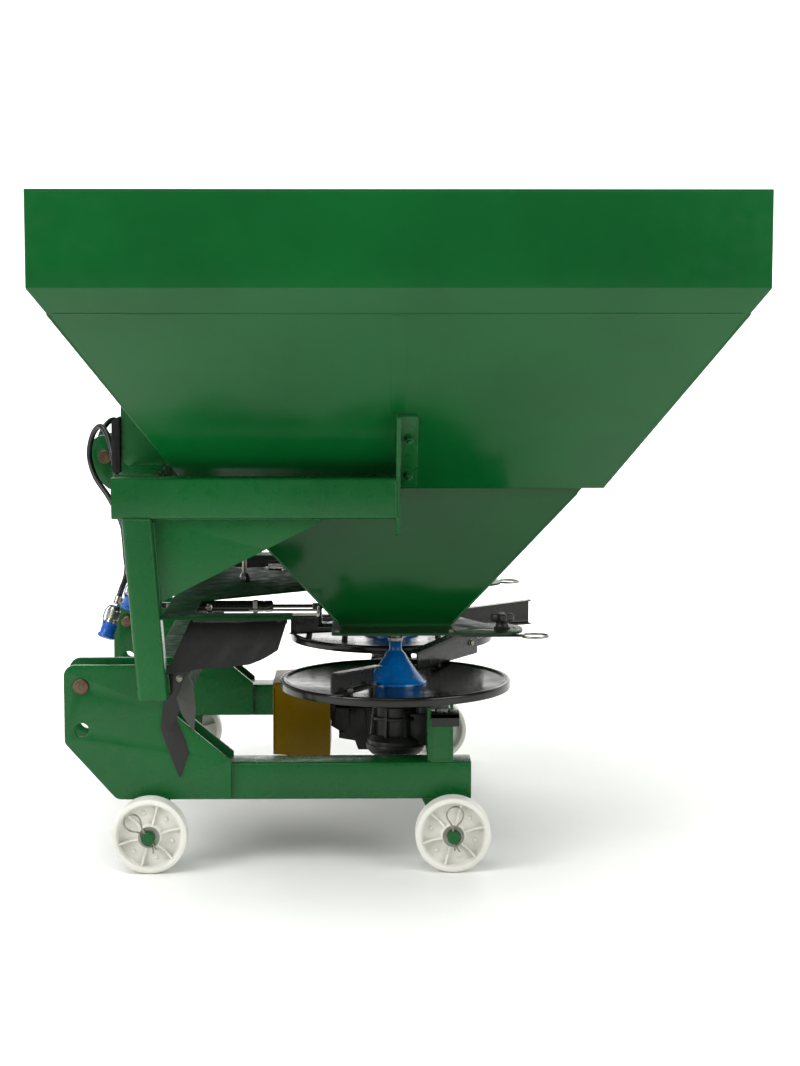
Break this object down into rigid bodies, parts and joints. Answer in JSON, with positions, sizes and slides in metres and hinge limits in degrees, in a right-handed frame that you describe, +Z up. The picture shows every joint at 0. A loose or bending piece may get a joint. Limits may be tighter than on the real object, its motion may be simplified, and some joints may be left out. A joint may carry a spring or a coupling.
{
  "type": "twin-disc fertiliser spreader",
  "caption": "Tractor-mounted twin-disc fertiliser spreader: hopper on a hitch frame with parking wheels, shuttered outlets over spinning vaned discs.",
  "frame": {"origin": "on the floor, midway between the two spreading discs, under the middle of the hopper", "axes": "+X to the rear of the machine, +Y to its right side, +Z up; the hitch is at -X"},
  "size_m": [1.334, 1.7, 1.325],
  "materials": {
    "green": "glossy dark green enamel",
    "black_paint": "glossy black enamel",
    "black_cast": "black painted casting",
    "rubber": "black rubber sheet",
    "hose": "smooth black hydraulic hose",
    "yellow": "yellow enamel",
    "blue": "moulded blue plastic",
    "nylon": "white moulded nylon",
    "steel": "bright steel",
    "worn_steel": "browned steel"
  },
  "bodies": {
    "frame": {"hopper": "green", "rear_cross_beam": "green", "front_cross_tube": "green", "upper_cross_bar": "green", "top_link_pin": "worn_steel", "guard_plate": "green", "gearbox_centre": "black_cast", "pto_shield": "yellow", "funnel_left": "green", "outlet_plate_left": "green", "cylinder_left": "black_paint", "gearbox_left": "black_cast", "rail_left": "green", "hitch_plate_outer_left": "green", "hitch_plate_inner_left": "green", "lower_link_pin_left": "worn_steel", "post_left": "green", "upper_bar_left": "green", "flap_left": "rubber", "side_flap_left": "rubber", "hose_left": "hose", "coupler_left": "steel", "axle_front_left": "green", "axle_rear_left": "green", "funnel_right": "green", "outlet_plate_right": "green", "cylinder_right": "black_paint", "gearbox_right": "black_cast", "rail_right": "green", "hitch_plate_outer_right": "green", "hitch_plate_inner_right": "green", "lower_link_pin_right": "worn_steel", "post_right": "green", "upper_bar_right": "green", "flap_right": "rubber", "side_flap_right": "rubber", "hose_right": "hose", "coupler_right": "steel", "axle_front_right": "green", "axle_rear_right": "green"},
    "wheel_front_left": {"wheel_front_left": "nylon"},
    "wheel_rear_left": {"wheel_rear_left": "nylon"},
    "rotor_left": {"disc_left": "black_paint", "cone_left": "blue", "disc_shaft_left": "steel", "long_vane_left": "black_paint", "short_vane_left": "black_paint"},
    "shutter_left": {"shutter_left": "black_paint"},
    "knob_left": {"knob_left": "black_cast"},
    "wheel_front_right": {"wheel_front_right": "nylon"},
    "wheel_rear_right": {"wheel_rear_right": "nylon"},
    "rotor_right": {"disc_right": "black_paint", "cone_right": "blue", "disc_shaft_right": "steel", "long_vane_right": "black_paint", "short_vane_right": "black_paint"},
    "shutter_right": {"shutter_right": "black_paint"},
    "knob_right": {"knob_right": "black_cast"},
    "cross_shaft": {"cross_shaft": "steel"},
    "pto_shaft": {"pto_shaft": "steel"}
  },
  "joints": [
    {"name": "wheel_front_left_spin", "type": "hinge", "parent": "frame", "child": "wheel_front_left", "pos_m": [-0.489, -0.5275, 0.075], "axis": [0, 1, 0], "continuous": true},
    {"name": "wheel_rear_left_spin", "type": "hinge", "parent": "frame", "child": "wheel_rear_left", "pos_m": [0.111, -0.5275, 0.075], "axis": [0, 1, 0], "continuous": true},
    {"name": "rotor_left_spin", "type": "hinge", "parent": "frame", "child": "rotor_left", "pos_m": [0, -0.32, 0.342], "axis": [0, 0, 1], "continuous": true},
    {"name": "shutter_left_slide", "type": "slide", "parent": "frame", "child": "shutter_left", "axis": [-1, 0, 0], "range_m": [0, 0.08]},
    {"name": "knob_left_turn", "type": "hinge", "parent": "frame", "child": "knob_left", "pos_m": [0.2166, -0.372, 0.4617], "axis": [0, 0, 1], "continuous": true},
    {"name": "wheel_front_right_spin", "type": "hinge", "parent": "frame", "child": "wheel_front_right", "pos_m": [-0.489, 0.5275, 0.075], "axis": [0, 1, 0], "continuous": true},
    {"name": "wheel_rear_right_spin", "type": "hinge", "parent": "frame", "child": "wheel_rear_right", "pos_m": [0.111, 0.5275, 0.075], "axis": [0, 1, 0], "continuous": true},
    {"name": "rotor_right_spin", "type": "hinge", "parent": "frame", "child": "rotor_right", "pos_m": [0, 0.32, 0.342], "axis": [0, 0, 1], "continuous": true},
    {"name": "shutter_right_slide", "type": "slide", "parent": "frame", "child": "shutter_right", "axis": [-1, 0, 0], "range_m": [0, 0.08]},
    {"name": "knob_right_turn", "type": "hinge", "parent": "frame", "child": "knob_right", "pos_m": [0.2166, 0.372, 0.4617], "axis": [0, 0, 1], "continuous": true},
    {"name": "cross_shaft_spin", "type": "hinge", "parent": "frame", "child": "cross_shaft", "pos_m": [0, 0, 0.25], "axis": [0, 1, 0], "continuous": true},
    {"name": "pto_shaft_spin", "type": "hinge", "parent": "frame", "child": "pto_shaft", "pos_m": [0, 0, 0.25], "axis": [1, 0, 0], "continuous": true}
  ],
  "couplings": [
    {"joint": "rotor_right_spin", "follows": "rotor_left_spin", "ratio": -1},
    {"joint": "cross_shaft_spin", "follows": "rotor_left_spin", "ratio": -1},
    {"joint": "pto_shaft_spin", "follows": "rotor_left_spin", "ratio": -1}
  ]
}
